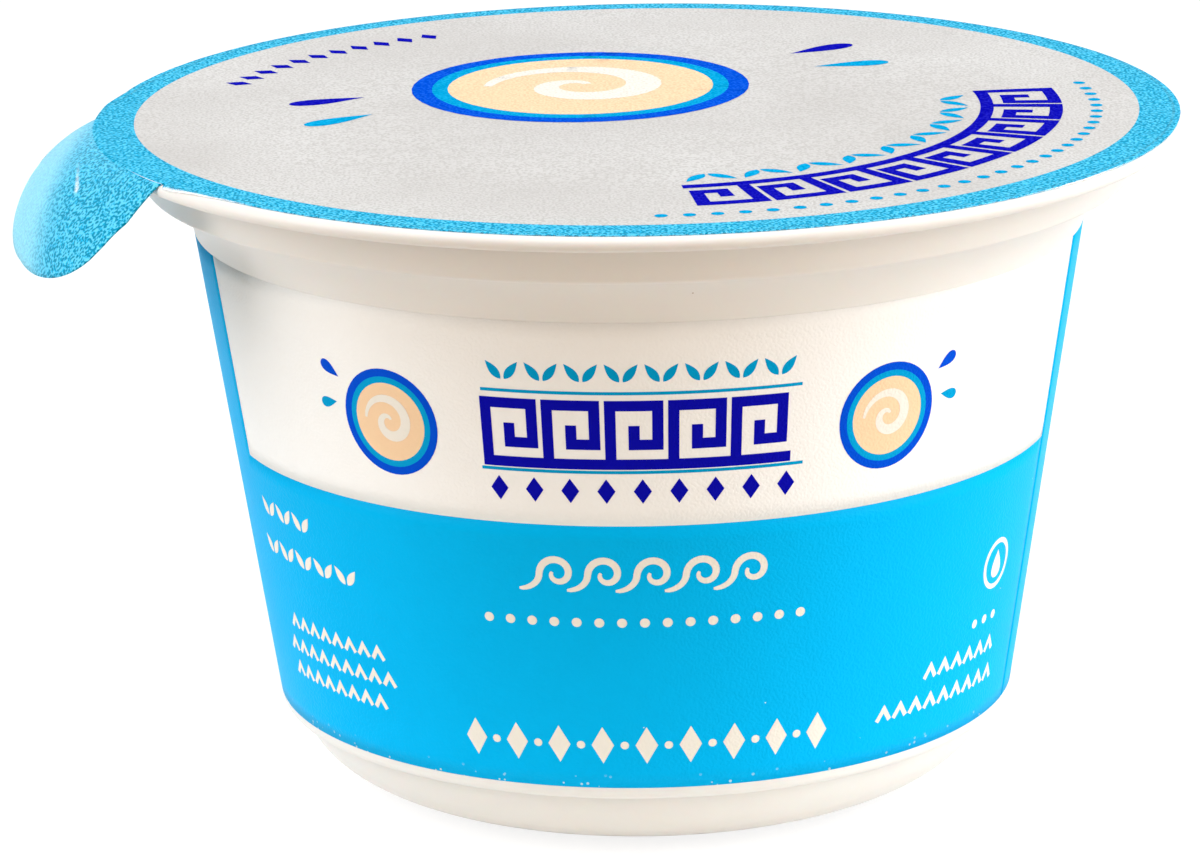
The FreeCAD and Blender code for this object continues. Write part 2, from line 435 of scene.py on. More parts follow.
labelSize = {"thickness": 0.12, "low": 7.717, "high": 49.75}
inks = {
    "deepBlue": (8, 8, 172), "royalBlue": (0, 78, 214), "cyan": (0, 158, 214), "peach": (246, 211, 172),
    "offWhite": (240, 234, 224),
}
filmSize = {"pitch": 0.42, "depth": 0.012, "roughness": 0.4, "drift": 0.25, "speckSparkleReach": 1.3}
foilSizes = {"pitch": 0.42, "depth": 0.04, "ringDepth": 0.05, "tabDepth": 0.08}
foilWearAndLight = {
    "paintedLightColor": (168, 236, 255), "paintedLightShare": 0.75, "crestFrom": 0.55, "crestShare": 0.85,
    "lineColor": (74, 118, 130), "lineShare": 0.65, "lineInset": 0.62, "lineHalf": 0.13, "lineFrom": 0.53,
    "bareAndGlintColor": (244, 246, 248), "bareAndGlintFrom": 0.82, "ragged": 0.6, "raggedScale": 1500.0,
}


def filmMaterial(name, color, other, gloss=0.03, speckedAndSparkling=False):
    # satin printed film with an orange-peel grain
    material, tree, shader = newMaterial(name, IOR=1.45, Specular_IOR_Level=gloss)
    tint = groupNode(tree, "tint", Color=srgb(*color), Other=srgb(*other), Scale=45.0,
                     Amount=filmSize["drift"])
    specks = groupNode(tree, "specks", Color=tint["Color"], Speck=srgb(250, 250, 250), Spacing=2.6,
                       Size=0.055)
    emboss = groupNode(tree, "emboss", Pitch=filmSize["pitch"])
    color = specks["Color"]
    if speckedAndSparkling:
        # pale specks along the label's lower edge: partly ink missed in the film's pores, partly painted
        # sparkle of highlights on its grain
        place = addNode(tree, "ShaderNodeTexCoord", {}).outputs["Object"]
        low, high = labelSize["low"] * mm, (labelSize["low"] + filmSize["speckSparkleReach"]) * mm
        near = mapRange(tree, splitVector(tree, place)[2], low, high, 1.0, 0.0)
        specksAndSparkle = groupNode(tree, "specks", Color=color, Speck=srgb(205, 236, 248), Spacing=0.5, Size=0.13)
        color = mixColor(tree, near, color, specksAndSparkle["Color"])
    tree.links.new(color, shader.inputs["Base Color"])
    rough = mathNode(tree, "MULTIPLY_ADD", tint["Mask"], 0.08, filmSize["roughness"])
    tree.links.new(rough, shader.inputs["Roughness"])
    bumpFrom(tree, shader, emboss["Height"], filmSize["depth"])
    return material


def foilInkMaterial(name, color, depth, metallic, gloss, contrast):
    # translucent lacquer over embossed foil, lighter on the crests and darker in the hollows: partly the
    # lacquer's own thickness, partly a painted highlight on the crests and painted shade in the hollows
    w = foilWearAndLight
    material, tree, shader = newMaterial(name, Metallic=metallic, Specular_IOR_Level=gloss)
    lighter = srgb(*(c + (255 - c) * contrast for c in color))
    darker = srgb(*(c * (1 - contrast * 0.55) for c in color))
    emboss = groupNode(tree, "emboss", Pitch=foilSizes["pitch"])
    tint = groupNode(tree, "tint", Color=srgb(*color), Other=lighter, Scale=90.0, Amount=0.12)
    # painted light: the tab's back half is mixed towards a pale blue
    paintedLight = addNode(tree, "ShaderNodeAttribute", {}, attribute_name="paintedLight").outputs["Fac"]
    paintedLightShare = mathNode(tree, "MULTIPLY", paintedLight, w["paintedLightShare"])
    inkColor = mixColor(tree, paintedLightShare, tint["Color"], srgb(*w["paintedLightColor"]))
    # the emboss colouring is weakened under the painted light
    flat = mathNode(tree, "MULTIPLY_ADD", paintedLight, -w["paintedLightShare"], 1.0)
    # painted highlight on the crests and painted shade in the hollows, partly the lacquer's own thickness
    crest = mapRange(tree, emboss["Height"], w["crestFrom"], 1.0, 0.0, w["crestShare"])
    inkColor = mixColor(tree, mathNode(tree, "MULTIPLY", crest, flat), inkColor, lighter)
    inkColor = mixColor(tree, mathNode(tree, "MULTIPLY", emboss["Hollow"], flat), inkColor, darker)

    # a broken dark line just inside the cut edge: painted shade of a pressed line that has no relief of its
    # own
    ragged = addNode(tree, "ShaderNodeTexNoise", {"Scale": w["raggedScale"], "Detail": 3.0}).outputs["Fac"]
    inset = addNode(tree, "ShaderNodeAttribute", {}, attribute_name="inset").outputs["Fac"]
    off = mathNode(tree, "ABSOLUTE", mathNode(tree, "SUBTRACT", inset, w["lineInset"]))
    line = mathNode(tree, "MULTIPLY", mathNode(tree, "LESS_THAN", off, w["lineHalf"]),
                    mathNode(tree, "GREATER_THAN", ragged, w["lineFrom"]))
    lineShare = mathNode(tree, "MULTIPLY", line, w["lineShare"])
    inkColor = mixColor(tree, lineShare, inkColor, srgb(*w["lineColor"]))

    # near-white where the mask passes a threshold: bare metal at the worn edge, a painted highlight of the
    # rim's edge beside the tab, and along the tab's fold and sharpest bend partly cracked ink and partly a
    # painted highlight
    wearAndGlint = addNode(tree, "ShaderNodeAttribute", {}, attribute_name="wearAndGlint").outputs["Fac"]
    wearAndGlintMask = mathNode(tree, "ADD", wearAndGlint, mathNode(tree, "MULTIPLY", ragged, w["ragged"]))
    bareAndGlint = mathNode(tree, "GREATER_THAN", wearAndGlintMask, w["bareAndGlintFrom"])
    tree.links.new(mixColor(tree, bareAndGlint, inkColor, srgb(*w["bareAndGlintColor"])), shader.inputs["Base Color"])
    tree.links.new(mathNode(tree, "MULTIPLY_ADD", tint["Mask"], 0.1, 0.3), shader.inputs["Roughness"])
    bumpFrom(tree, shader, emboss["Height"], depth)
    return material


def foilSilverMaterial():
    material, tree, shader = newMaterial("foilSilver", Specular_IOR_Level=0.5)
    emboss = groupNode(tree, "emboss", Pitch=foilSizes["pitch"])
    tint = groupNode(tree, "tint", Color=srgb(217, 215, 213), Other=srgb(190, 186, 183), Scale=38.0,
                     Amount=0.75)
    # painted shade: the emboss hollows are darkened
    share = mathNode(tree, "MULTIPLY", emboss["Hollow"], 0.7)
    color = mixColor(tree, share, tint["Color"], srgb(180, 176, 172))
    tree.links.new(color, shader.inputs["Base Color"])
    tree.links.new(mathNode(tree, "MULTIPLY_ADD", tint["Mask"], 0.1, 0.38), shader.inputs["Roughness"])
    tree.links.new(mathNode(tree, "MULTIPLY_ADD", emboss["Hollow"], -0.15, 0.45), shader.inputs["Metallic"])
    bumpFrom(tree, shader, emboss["Height"], foilSizes["depth"])
    return material


def potMaterial():
    # moulded polypropylene: a little light passes into it
    material, tree, shader = newMaterial("whitePlastic", IOR=1.49, Specular_IOR_Level=0.25,
                                         Subsurface_Weight=0.1, Subsurface_Scale=0.6 * mm)
    tint = groupNode(tree, "tint", Color=srgb(234, 231, 227), Other=srgb(230, 226, 221), Scale=14.0,
                     Amount=0.5)
    specks = groupNode(tree, "specks", Color=tint["Color"], Speck=srgb(176, 158, 138), Spacing=5.0,
                       Size=0.07)
    tree.links.new(specks["Color"], shader.inputs["Base Color"])
    flow = addNode(tree, "ShaderNodeTexNoise", {"Scale": 900.0, "Detail": 2.0}).outputs["Fac"]
    tree.links.new(mathNode(tree, "MULTIPLY_ADD", flow, 0.06, 0.3), shader.inputs["Roughness"])
    bumpFrom(tree, shader, flow, 0.006, 0.5)
    return material


whitePlastic = potMaterial()
labelWhite = filmMaterial("labelWhite", (248, 247, 245), (244, 242, 239), gloss=0.15)
labelBlue = filmMaterial("labelBlue", (0, 182, 243), (0, 172, 233), speckedAndSparkling=True)
filmInks = {name: filmMaterial(name + "Film", color, tuple(c * 0.94 for c in color))
            for name, color in inks.items()}
foilSilver = foilSilverMaterial()
foilBlue = foilInkMaterial("foilBlue", (0, 178, 228), foilSizes["ringDepth"],
                           metallic=0.15, gloss=0.0, contrast=0.38)
# painted light: the tab's blue is a lighter copy of the ring's blue ink; its deeper emboss is its own
foilTab = foilInkMaterial("foilTab", (0, 186, 236), foilSizes["tabDepth"],
                          metallic=0.15, gloss=0.05, contrast=0.42)
foilInks = {name: foilInkMaterial(name + "Foil", color, foilSizes["depth"],
                                  metallic=0.0, gloss=0.0, contrast=0.1) for name, color in inks.items()}
print("finishes:", len(bpy.data.materials), "materials")


# the pot

potSize = {
    "ringRadius": 20.5, "recessRadius": 16.5, "recessDepth": 1.0,
    "footHeight": 6.5, "footRadius": 30.8, "cornerRound": 0.9,
    "wallHeight": 43.4, "wallTopRadius": 38.967, "draft": 8.5,
    "coveHeight": 3.9, "coveRadius": 41.4, "coveBulge": 0.35, "stepDrop": 0.25,
    "neckRadius": 43.2, "neckDraft": 0.5, "neckRound": 0.45, "neckFillet": 0.6,
    "flangeRadius": 47.48, "flangeThickness": 1.15, "flangeTop": 58.8,
    "around": 288,
}
wallSlope = math.tan(math.radians(potSize["draft"]))
wallTop = potSize["footHeight"] + potSize["wallHeight"]


def wallRadius(z):
    return potSize["wallTopRadius"] + (z - wallTop) * wallSlope


def potOutline():
    s = potSize
    foot, ring = s["footHeight"], s["ringRadius"]
    recess, flange = s["recessRadius"], s["flangeRadius"]
    topOfWall = (s["wallTopRadius"], wallTop)
    topOfCove = (s["coveRadius"], wallTop + s["coveHeight"])
    chord = Vector(topOfCove) - Vector(topOfWall)
    coveMiddle = Vector(topOfWall) + chord / 2 + Vector((-chord.y, chord.x)).normalized() * s["coveBulge"]
    neckLow = (s["neckRadius"], topOfCove[1] + s["stepDrop"])
    neckHigh = (s["neckRadius"] + s["neckDraft"], s["flangeTop"] - s["flangeThickness"])
    edge = s["flangeThickness"] / 2
    points = [(0, s["recessDepth"]), (recess - 1, s["recessDepth"])]
    points += roundedCorner(points[-1], (recess, s["recessDepth"]), (recess + 1, 0), 0.5, 4)
    points += roundedCorner(points[-1], (recess + s["recessDepth"], 0), (ring, 0), 0.4, 4)
    curve = [math.radians(a) for a in range(0, 91, 5)]
    points += [(ring + (s["footRadius"] - ring) * math.sin(a), foot - foot * math.cos(a)) for a in curve]
    points += roundedCorner(points[-1], (wallRadius(foot), foot), topOfWall, s["cornerRound"], 8)
    low, high, inset = labelSize["low"], labelSize["high"], labelSize["thickness"]
    points += [(wallRadius(low) - 0.005, low - 0.02), (wallRadius(low) - inset, low)]
    points += linePoints(points[-1], (wallRadius(high) - inset, high), 12)
    points += [(wallRadius(high) - 0.005, high + 0.02), topOfWall]
    points += arcPoints(topOfWall, tuple(coveMiddle), topOfCove, 14)
    points += roundedCorner(topOfCove, neckLow, neckHigh, s["neckRound"], 8)
    points += roundedCorner(neckLow, neckHigh, (flange, neckHigh[1]), s["neckFillet"], 6)
    points += linePoints(points[-1], (flange - edge, neckHigh[1]), 3)
    turns = [math.radians(a) for a in range(-75, 91, 15)]
    points += [(flange - edge + edge * math.cos(a), s["flangeTop"] - edge + edge * math.sin(a))
               for a in turns]
    points += [(r, s["flangeTop"]) for r in (44, 30, 15, 0)]
    return points


outline = potOutline()
profile = bpy.data.meshes.new("potShell")
profile.from_pydata([(r * mm, 0, z * mm) for r, z in outline],
                    [(k, k + 1) for k in range(len(outline) - 1)], [])
potShell = runTree(addPiece("potShell", profile), latheTree(),
                   {"Around": potSize["around"], "Material": whitePlastic})
faceOutwards(potShell.data)
potShell.data.set_sharp_from_angle(angle=math.radians(38))
ridePiece(potShell, "white_plastic", "pot")
print("pot:", len(potShell.data.polygons), "faces")


# the label: white windows in a blue field, round the whole wall but for its butt seam

labelField = {
    "windowLow": 31.77,                       # the white windows stand on the blue field
    "frontWindow": (-69.3, 73.0), "backWindow": (109.0, 254.7),
    "seam": 73.0, "seamGap": 0.4,             # degrees from the front, towards the right
    "stepDegrees": 1.5, "stepHeight": 1.5,
}


def onWall(degrees, z, lift=0.0):
    # a point on the wall, by its direction from the front and its height
    r = wallRadius(z) + lift
    a = math.radians(degrees)
    return (r * math.sin(a), -r * math.cos(a), z)


def splitSpan(low, high, step):
    count = max(1, math.ceil((high - low) / step))
    return [low + (high - low) * k / count for k in range(count)]


def splitAll(stops, step):
    return [v for low, high in zip(stops, stops[1:]) for v in splitSpan(low, high, step)] + [stops[-1]]


def inWindow(degrees, z):
    f = labelField
    backFrom, backTo = f["backWindow"]
    inFront = degrees > f["frontWindow"][0] + 360
    return z > f["windowLow"] and (backFrom < degrees < backTo or inFront)


def labelSheet(name, wanted, material):
    f = labelField
    half = f["seamGap"] / 2
    stops = [f["seam"] + half, *f["backWindow"], f["frontWindow"][0] + 360, f["seam"] + 360 - half]
    levels = [labelSize["low"], f["windowLow"], labelSize["high"]]
    across, up = splitAll(stops, f["stepDegrees"]), splitAll(levels, f["stepHeight"])
    verts = [onWall(a, z) for z in up for a in across]
    faces = []
    for j in range(len(up) - 1):
        for i in range(len(across) - 1):
            if inWindow((across[i] + across[i + 1]) / 2, (up[j] + up[j + 1]) / 2) == wanted:
                k = j * len(across) + i
                faces.append((k, k + 1, k + 1 + len(across), k + len(across)))
    mesh = meshFrom(name, verts, faces)
    work = bmesh.new()
    work.from_mesh(mesh)
    bmesh.ops.delete(work, geom=[v for v in work.verts if not v.link_faces], context="VERTS")
    work.to_mesh(mesh)
    work.free()
    piece = addPiece(name, mesh, material)
    thick = piece.modifiers.new("thickness", "SOLIDIFY")
    thick.thickness = labelSize["thickness"] * mm
    thick.offset = -1
    return piece


ridePiece(labelSheet("labelWindows", True, labelWhite), "label_film", "label")
ridePiece(labelSheet("labelField", False, labelBlue), "label_film")
print("label: windows and field")


# the lid

lidSize = {
    "foil": 0.12, "ringInner": 43.8, "edge": 46.95, "foldStart": 46.925,
    "ringShift": (0.85, 95.0), "edgeShift": (0.65, 60.0),      # how far off centre, and which way
    "flare": 1.25, "flareTurn": 13.0,            # beside the tab the edge reaches over the rim
    "rimRound": 0.62,
    "crownRadius": 42.0, "crownRise": 0.26,
    "waves": ((0.055, 0.075), (0.02, 0.2)),      # height and how many per millimetre
    "sealRadius": 41.6, "sealDepth": 0.05, "sealWidth": 0.5,
    "stepRadius": 0.85, "around": 438,
    "borderSteps": (0.2, 0.4, 0.58, 0.72, 0.83, 0.91, 0.97, 1.0),
    "tabDirection": 196.4, "tabWidth": 26.8, "tabLength": 12.14, "tabEndDepth": 4.7,
    "tabColumns": 56, "tabRows": 48,
    "foldRadius": 0.9, "slopeStart": 21.5, "slopeEnd": 76.0,
    "frontDrop": 0.11, "dropFrom": 47.4, "dropOver": 2.7,     # the tab's front half hangs lower
    "ridgeFrom": (47.2, -8.5), "ridgeTo": (54.6, 6.0), "ridgeSoft": (-5.0, 4.5),
    "creaseRows": 3, "creaseWearAndGlint": (0.36, 0.26), "creaseFrom": 2.0, "creaseTo": 12.0,
    "crackGlintFrom": (48.2, -6.0), "crackGlintTo": (50.5, 3.6), "crackGlintWidth": 0.55, "crackGlintShare": 0.56,
}
edgeSize = {     # directions and spreads in degrees, lengths in millimetres
    "wave": 0.045, "wavesAcross": 55,
    "bulge": (0.16, 321, 6), "scuffWave": (0.1, 319, 8), "flareWave": (0.12, 2.0, 16.0),
    "scuff": (322, 6), "fringeFront": (216, 3, 8), "fringeBack": (176, 4),
    "wearGlintReach": (0.1, 1.2, 0.5), "wearGlintAmount": (0.45, 0.2),
}
foilTop = potSize["flangeTop"] + lidSize["foil"]
tabTurn = math.radians(lidSize["tabDirection"])
tabHalfTurn = math.degrees(math.asin(lidSize["tabWidth"] / 2 / lidSize["foldStart"]))


def lidHeight(x, y):
    s = lidSize
    r = math.hypot(x, y)
    rise, reach = s["crownRise"], s["crownRadius"]
    bow = (reach ** 2 + rise ** 2) / (2 * rise)
    z = foilTop + max(0.0, rise - bow + math.sqrt(max(0.0, bow ** 2 - r ** 2)))
    slack = 1 - smoothStep(38, 43.5, r)
    for height, often in s["waves"]:
        z += height * slack * noise.noise(Vector((x * often, y * often, height * 100)))
    return z - s["sealDepth"] * bell(r, s["sealRadius"], s["sealWidth"])


def tabSection():
    # level at the rim, a tight fold, then a long bend down
    s = lidSize
    fold, foldSteps, bendSteps = s["foldRadius"], 6, 40
    bend = math.radians(s["slopeEnd"] - s["slopeStart"])
    longRadius = s["tabLength"] / bend
    first = math.radians(s["slopeStart"])
    folds = [first * k / foldSteps for k in range(foldSteps + 1)]
    points = [(s["foldStart"] + fold * math.sin(a), foilTop - fold * (1 - math.cos(a))) for a in folds]
    x0, z0 = points[-1]
    for k in range(1, bendSteps + 1):
        a = first + bend * k / bendSteps
        points.append((x0 + longRadius * (math.sin(a) - math.sin(first)),
                       z0 - longRadius * (math.cos(first) - math.cos(a))))
    return points


def heightAt(section, r):
    for (r0, z0), (r1, z1) in zip(section, section[1:]):
        if r <= r1:
            return z0 + (z1 - z0) * max(0.0, r - r0) / (r1 - r0)
    return section[-1][1]


def shifted(radius, shift, degrees):
    # the radius of a circle that is set off from the pot's axis
    return radius + shift[0] * math.cos(math.radians(degrees - shift[1]))


def foilPoint(r, angle):
    # a point of the foil; past the flat of the flange it bends down round the rim
    past = max(0.0, r - lidSize["foldStart"])
    bend = min(1.5, past / lidSize["rimRound"])
    if past:
        r = lidSize["foldStart"] + lidSize["rimRound"] * math.sin(bend)
    x, y = r * math.cos(angle), r * math.sin(angle)
    return x, y, lidHeight(x, y) - lidSize["rimRound"] * (1 - math.cos(bend))


def beyondTab(degrees):
    # degrees round the rim from the nearer side of the tab
    return abs((degrees - lidSize["tabDirection"] + 180) % 360 - 180) - tabHalfTurn


def foilEdge(degrees):
    # the cut edge, wavy from the punch, flared beside the tab and scuffed at the front right
    s, e = lidSize, edgeSize
    a = math.radians(degrees)
    beyond = beyondTab(degrees)
    edge = shifted(s["edge"], s["edgeShift"], degrees)
    edge += s["flare"] * (1 - smoothStep(0.0, s["flareTurn"], beyond))
    bulge, *bulgePlace = e["bulge"]
    edge += bulge * bell(degrees, *bulgePlace)
    scuffWave, *scuffPlace = e["scuffWave"]
    flareWave, *flareReach = e["flareWave"]
    rough = e["wave"] + scuffWave * bell(degrees, *scuffPlace)
    rough += flareWave * (1 - smoothStep(*flareReach, beyond))
    often = e["wavesAcross"]
    return edge + rough * noise.noise(Vector((math.cos(a) * often, math.sin(a) * often, 3.0)))


def edgeWearAndGlint(degrees, inset):
    # near-white at the cut edge: worn bare metal all round and in one scuffed stretch at the front right;
    # the wider band beside the tab is a painted highlight of the rim's edge
    middle, flat, spread = edgeSize["fringeFront"]
    backMiddle, backSpread = edgeSize["fringeBack"]
    beside = max(0.0, 1 - max(0.0, abs(degrees - middle) - flat) / spread,
                 1 - abs(degrees - backMiddle) / backSpread)
    scuff = bell(degrees, *edgeSize["scuff"])
    least, besideReach, scuffReach = edgeSize["wearGlintReach"]
    reach = least + besideReach * beside + scuffReach * scuff
    low, more = edgeSize["wearGlintAmount"]
    return max(0.0, 1 - inset / reach) * (low + more * max(beside, scuff))


def paintedTabLight(x, y):
    # painted light: the back half of the tab, where it faces the light, is painted paler
    (x0, y0), (x1, y1) = lidSize["ridgeFrom"], lidSize["ridgeTo"]
    return 1 - smoothStep(*lidSize["ridgeSoft"], y - y0 - (x - x0) * (y1 - y0) / (x1 - x0))


def crackAndGlint(x, y):
    # near-white flecks along the tab's sharpest bend: partly cracked ink, partly a painted highlight where
    # the bend catches the light
    start, end = Vector(lidSize["crackGlintFrom"]), Vector(lidSize["crackGlintTo"])
    leg = end - start
    along = min(1.0, max(0.0, (Vector((x, y)) - start).dot(leg) / leg.length_squared))
    away = (Vector((x, y)) - start - leg * along).length
    return lidSize["crackGlintShare"] * (0.6 + 0.4 * along) * bell(away, 0, lidSize["crackGlintWidth"])


def foilSheetMesh():
    s = lidSize
    halfTurn = math.radians(tabHalfTurn)
    tabAngles = [halfTurn * (2 * k / s["tabColumns"] - 1) for k in range(s["tabColumns"] + 1)]
    rest = 2 * math.pi - 2 * halfTurn
    angles = tabAngles + [halfTurn + rest * k / s["around"] for k in range(1, s["around"])]
    n = len(angles)
    verts, faces, slots = [(0, 0, lidHeight(0, 0))], [], []
    farInside = 9.0
    wearAndGlint, inset, paintedLight = [0.0], [farInside], [0.0]     # worn bare metal and painted highlight, distance inside the cut edge, painted light on the tab
    inner = splitSpan(s["stepRadius"], s["ringInner"], s["stepRadius"]) + [s["ringInner"]]
    rings = [(r, 0.0) for r in inner] + [(s["ringInner"], share) for share in s["borderSteps"]]
    for radius, share in rings:
        for k, a in enumerate(angles):
            degrees = math.degrees(tabTurn + a) % 360
            off = shifted(s["ringInner"], s["ringShift"], degrees) - s["ringInner"]
            r = radius + off * smoothStep(36, 43, radius)
            onTab = k <= s["tabColumns"]
            edge = s["foldStart"] if onTab else foilEdge(degrees)
            r += (edge - r) * share
            verts.append(foilPoint(r, tabTurn + a))
            wearAndGlint.append(0.0 if onTab else edgeWearAndGlint(degrees, edge - r))
            inset.append(farInside if onTab else edge - r)
            paintedLight.append(0.0)
    faces += [(0, 1 + k, 1 + (k + 1) % n) for k in range(n)]
    slots += [0] * n
    for j in range(len(rings) - 1):
        first = 1 + j * n
        for k in range(n):
            faces.append((first + k, first + n + k, first + n + (k + 1) % n, first + (k + 1) % n))
            slots.append(1 if j >= len(inner) - 1 else 0)
    rim = 1 + (len(rings) - 1) * n

    # the tab
    section = tabSection()
    tip = section[-1][0]
    half, depth = s["tabWidth"] / 2, s["tabEndDepth"]
    previous = None
    for i, a in enumerate(tabAngles):
        y = s["foldStart"] * math.sin(a)
        start = s["foldStart"] * math.cos(a)
        end = tip - depth + depth * math.sqrt(max(0.0, 1 - (y / half) ** 2))
        column = [rim + i]
        for j in range(1, s["tabRows"] + 1):
            share = j / s["tabRows"]
            x = start + (end - start) * share
            r = min(math.hypot(x, y), tip)
            drop = s["frontDrop"] * max(0.0, y) * min(1.0, max(0.0, r - s["dropFrom"]) / s["dropOver"])
            column.append(len(verts))
            verts.append((x * math.cos(tabTurn) - y * math.sin(tabTurn),
                          x * math.sin(tabTurn) + y * math.cos(tabTurn), heightAt(section, r) - drop))
            # near-white flecks along the fold row: partly worn ink, partly a painted highlight on the fold
            low, more = s["creaseWearAndGlint"]
            crease = (low + more * smoothStep(s["creaseFrom"], s["creaseTo"], y)) * (j == 2)
            wearAndGlint.append(max(crease, crackAndGlint(x, y)))
            inset.append(farInside)
            paintedLight.append(paintedTabLight(x, y) * (j > s["creaseRows"]))
        if previous:
            for j in range(s["tabRows"]):
                faces.append((previous[j], previous[j + 1], column[j + 1], column[j]))
                slots.append(2 if j >= s["creaseRows"] else 1)
        previous = column
    mesh = meshFrom("foilLid", verts, faces)
    mesh.polygons.foreach_set("material_index", slots)
    for label, values in (("wearAndGlint", wearAndGlint), ("inset", inset), ("paintedLight", paintedLight)):
        mesh.attributes.new(label, "FLOAT", "POINT").data.foreach_set("value", values)
    return mesh


foilLid = addPiece("foilLid", foilSheetMesh(), foilSilver, foilBlue, foilTab)
thick = foilLid.modifiers.new("thickness", "SOLIDIFY")
thick.thickness = lidSize["foil"] * 0.9 * mm
thick.offset = -1
ridePiece(foilLid, "lid_foil", "lid")
print("lid:", len(foilLid.data.polygons), "faces")


# the print, as thin sheets of ink that follow the label and the foil

inkLift = {"under": 0.015, "over": 0.03}         # above the label or the foil


def wallNormals(mesh):
    # the sheet is shaded like the smooth wall under it
    tilt = math.radians(potSize["draft"])
    normals = []
    for vert in mesh.vertices:
        out = Vector((vert.co.x, vert.co.y, 0)).normalized() * math.cos(tilt)
        normals.append((out.x, out.y, -math.sin(tilt)))
    mesh.normals_split_custom_set_from_vertices(normals)


def wallPrint(name, loops, ink, degrees, z, lift="under"):
    # loops are flat, about the point on the wall at this direction and height
    points, faces = fillLoops(loops)
    perDegree = math.radians(wallRadius(z))
    verts = [onWall(degrees + x / perDegree, z + y, inkLift[lift]) for x, y in points]
    piece = addPiece(name, meshFrom(name, verts, faces), filmInks[ink])
    wallNormals(piece.data)
    ridePiece(piece, "label_film")


def lidPrint(name, loops, ink, centre, lift="under"):
    points, faces = fillLoops(loops, lidPrintSize["grain"])
    places = [(x + centre[0], y + centre[1]) for x, y in points]
    verts = [(x, y, lidHeight(x, y) + inkLift[lift]) for x, y in places]
    ridePiece(addPiece(name, meshFrom(name, verts, faces), foilInks[ink]), "lid_foil")


def flatMotif(name, loops):
    points, faces = fillLoops(loops)
    return addPiece(name, meshFrom(name, [(x, y, 0) for x, y in points], faces))


rowOnWall = wallRowTree()
rowOnLid = lidRowTree()


def wallRow(name, loops, ink, degrees, z, count, pitch):
    piece = runTree(flatMotif(name, loops), rowOnWall, {
        "Count": count, "Pitch": pitch * mm, "Direction": math.radians(degrees), "Height": z * mm,
        "Base Radius": wallRadius(0) * mm, "Slope": wallSlope, "Lift": inkLift["under"] * mm,
        "Material": filmInks[ink]})
    wallNormals(piece.data)
    ridePiece(piece, "label_film")


def lidRow(name, loops, ink, degrees, radius, count, pitch):
    piece = runTree(flatMotif(name, loops), rowOnLid, {
        "Count": count, "Pitch": pitch * mm, "Direction": math.radians(degrees), "Radius": radius * mm,
        "Material": foilInks[ink]})
    for vert in piece.data.vertices:
        vert.co.z = (lidHeight(vert.co.x / mm, vert.co.y / mm) + inkLift["under"]) * mm
    ridePiece(piece, "lid_foil")


def keyMotif(size, pen):
    # one hook of a meander border, about its middle
    grid = [(4 - pen / size * 2, 0), (0, 0), (0, 4), (3, 4), (3, 1.35), (1.5, 1.35), (1.5, 2.65)]
    path = [(x * size / 4 - size / 2, y * size / 4 - size / 2) for x, y in grid]
    return [strokeLoop(path, pen)]


def waveMotif(radius, pen):
    # a running wave: it rises from the left, breaks to the right and curls in
    tail = [math.radians(a) for a in range(0, 90, 10)]
    path = [(-2.2 * radius + 1.2 * radius * math.sin(a), -radius * math.cos(a)) for a in tail]
    for a in range(180, -200, -14):
        inward = radius * (0.27 + 0.73 * (a + 200) / 380)
        path.append((inward * math.cos(math.radians(a)), inward * math.sin(math.radians(a))))
    middle = 0.6 * radius
    return [strokeLoop([(x + middle, y) for x, y in path],
                       lambda t: pen * (0.35 + 0.65 * math.sin(math.pi * t ** 0.8) ** 0.6))]


def sprigMotif(length, width):
    return [leafLoop(length, width, 52, (0.15, 0)), leafLoop(length, width, 128, (-0.15, 0))]


def swirlMotif(radius, pen):
    path, turns, start, steps = [], 1.35, 0.9, 45
    for k in range(steps + 1):
        t = k / steps
        a = 2 * math.pi * turns * t + start
        reach = radius * (0.08 + 0.62 * t)
        path.append((reach * math.cos(a), reach * math.sin(a)))
    return [strokeLoop(path, lambda t: pen * (0.25 + 0.75 * math.sin(math.pi * t ** 1.3)))]


def chevronMotif(width, height, pen):
    return [strokeLoop([(-width / 2, -height / 2), (0, height / 2), (width / 2, -height / 2)], pen)]


def lozengeMotif(width, height):
    return [[(width / 2, 0), (0, height / 2), (-width / 2, 0), (0, -height / 2)]]


